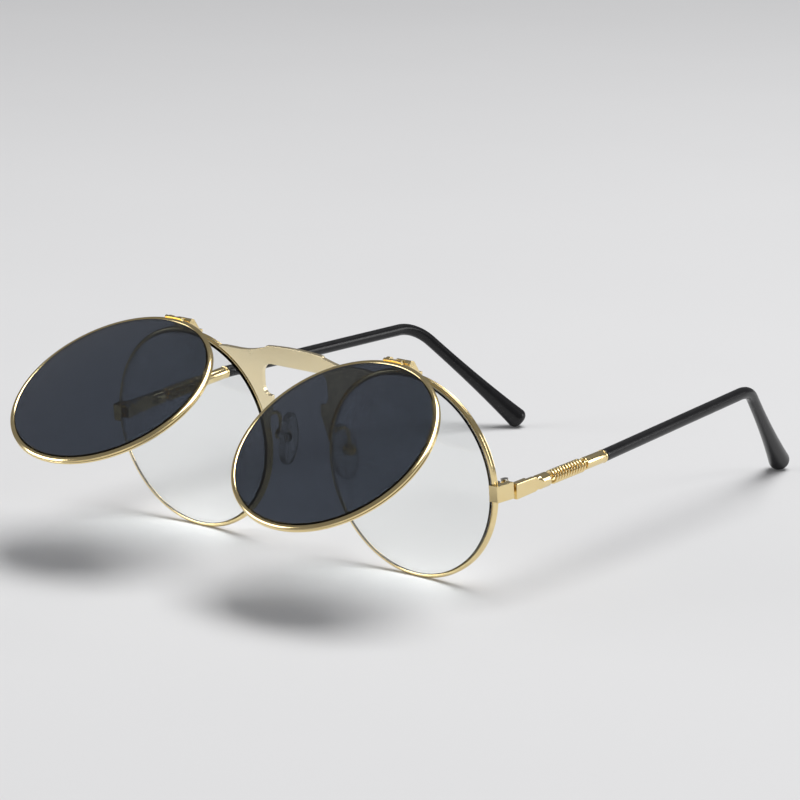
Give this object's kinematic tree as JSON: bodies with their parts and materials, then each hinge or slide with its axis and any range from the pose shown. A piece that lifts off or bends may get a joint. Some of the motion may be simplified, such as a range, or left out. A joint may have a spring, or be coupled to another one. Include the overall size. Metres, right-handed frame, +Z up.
{
  "type": "flip up sunglasses",
  "caption": "Round metal eyeglass frame with clear lenses, a stamped bridge plate, coil-wrapped hinged temples and tinted lenses in thin rims that flip up.",
  "frame": {"origin": "centre of the bounding box at the table, under the open glasses", "axes": "+X towards the wearer's left, -Y is the front that faces away from the wearer, +Z up"},
  "size_m": [0.1306, 0.1988, 0.0566],
  "materials": {
    "gold_metal": "polished pale gold plating",
    "steel_screws": "bright plated steel",
    "clear_lens": "clear, polished",
    "tinted_lens": "dark blue-grey tint, polished",
    "black_plastic": "glossy black",
    "clear_silicone": "clear, soft"
  },
  "bodies": {
    "front": {"bridge_plate": "gold_metal", "rim_left": "gold_metal", "lens_left": "clear_lens", "end_piece_left": "gold_metal", "rim_lock_upper_left": "gold_metal", "rim_lock_lower_left": "gold_metal", "rim_lock_screw_left": "steel_screws", "pad_arm_left": "gold_metal", "pad_screw_left": "steel_screws", "front_hinge_leaf_left": "gold_metal", "hinge_screw_left": "steel_screws", "flip_hinge_base_left": "gold_metal", "flip_hinge_pin_left": "gold_metal", "rim_right": "gold_metal", "lens_right": "clear_lens", "end_piece_right": "gold_metal", "rim_lock_upper_right": "gold_metal", "rim_lock_lower_right": "gold_metal", "rim_lock_screw_right": "steel_screws", "pad_arm_right": "gold_metal", "pad_screw_right": "steel_screws", "front_hinge_leaf_right": "gold_metal", "hinge_screw_right": "steel_screws", "flip_hinge_base_right": "gold_metal", "flip_hinge_pin_right": "gold_metal"},
    "flip_left": {"flip_hinge_leaf_left": "gold_metal", "flip_rim_left": "gold_metal", "tinted_lens_left": "tinted_lens"},
    "temple_left": {"temple_hinge_leaf_left": "gold_metal", "temple_bar_left": "gold_metal", "temple_core_left": "gold_metal", "temple_spring_left": "gold_metal", "temple_sleeve_left": "gold_metal", "temple_tip_left": "black_plastic"},
    "pad_left": {"nose_pad_left": "clear_silicone"},
    "flip_right": {"flip_hinge_leaf_right": "gold_metal", "flip_rim_right": "gold_metal", "tinted_lens_right": "tinted_lens"},
    "temple_right": {"temple_hinge_leaf_right": "gold_metal", "temple_bar_right": "gold_metal", "temple_core_right": "gold_metal", "temple_spring_right": "gold_metal", "temple_sleeve_right": "gold_metal", "temple_tip_right": "black_plastic"},
    "pad_right": {"nose_pad_right": "clear_silicone"}
  },
  "joints": [
    {"name": "flip_hinge_left", "type": "hinge", "parent": "front", "child": "flip_left", "pos_m": [0.0359, -0.05004, 0.0549], "axis": [1, 0, 0], "range_deg": [-37, 58]},
    {"name": "temple_hinge_left", "type": "hinge", "parent": "front", "child": "temple_left", "pos_m": [0.06105, -0.04078, 0.02644], "axis": [-0.0958, -0.0781, 0.9923], "range_deg": [-4, 80]},
    {"name": "pad_rock_left", "type": "hinge", "parent": "front", "child": "pad_left", "pos_m": [0.0117, -0.03943, 0.02714], "axis": [0.172, 0.9799, 0.1014], "range_deg": [-8, 8]},
    {"name": "flip_hinge_right", "type": "hinge", "parent": "front", "child": "flip_right", "pos_m": [-0.0359, -0.05004, 0.0549], "axis": [1, 0, 0], "range_deg": [-31, 64]},
    {"name": "temple_hinge_right", "type": "hinge", "parent": "front", "child": "temple_right", "pos_m": [-0.06105, -0.04078, 0.02644], "axis": [-0.0958, 0.0781, -0.9923], "range_deg": [-4, 72]},
    {"name": "pad_rock_right", "type": "hinge", "parent": "front", "child": "pad_right", "pos_m": [-0.0117, -0.03943, 0.02714], "axis": [-0.172, 0.9799, 0.1014], "range_deg": [-8, 8]}
  ]
}
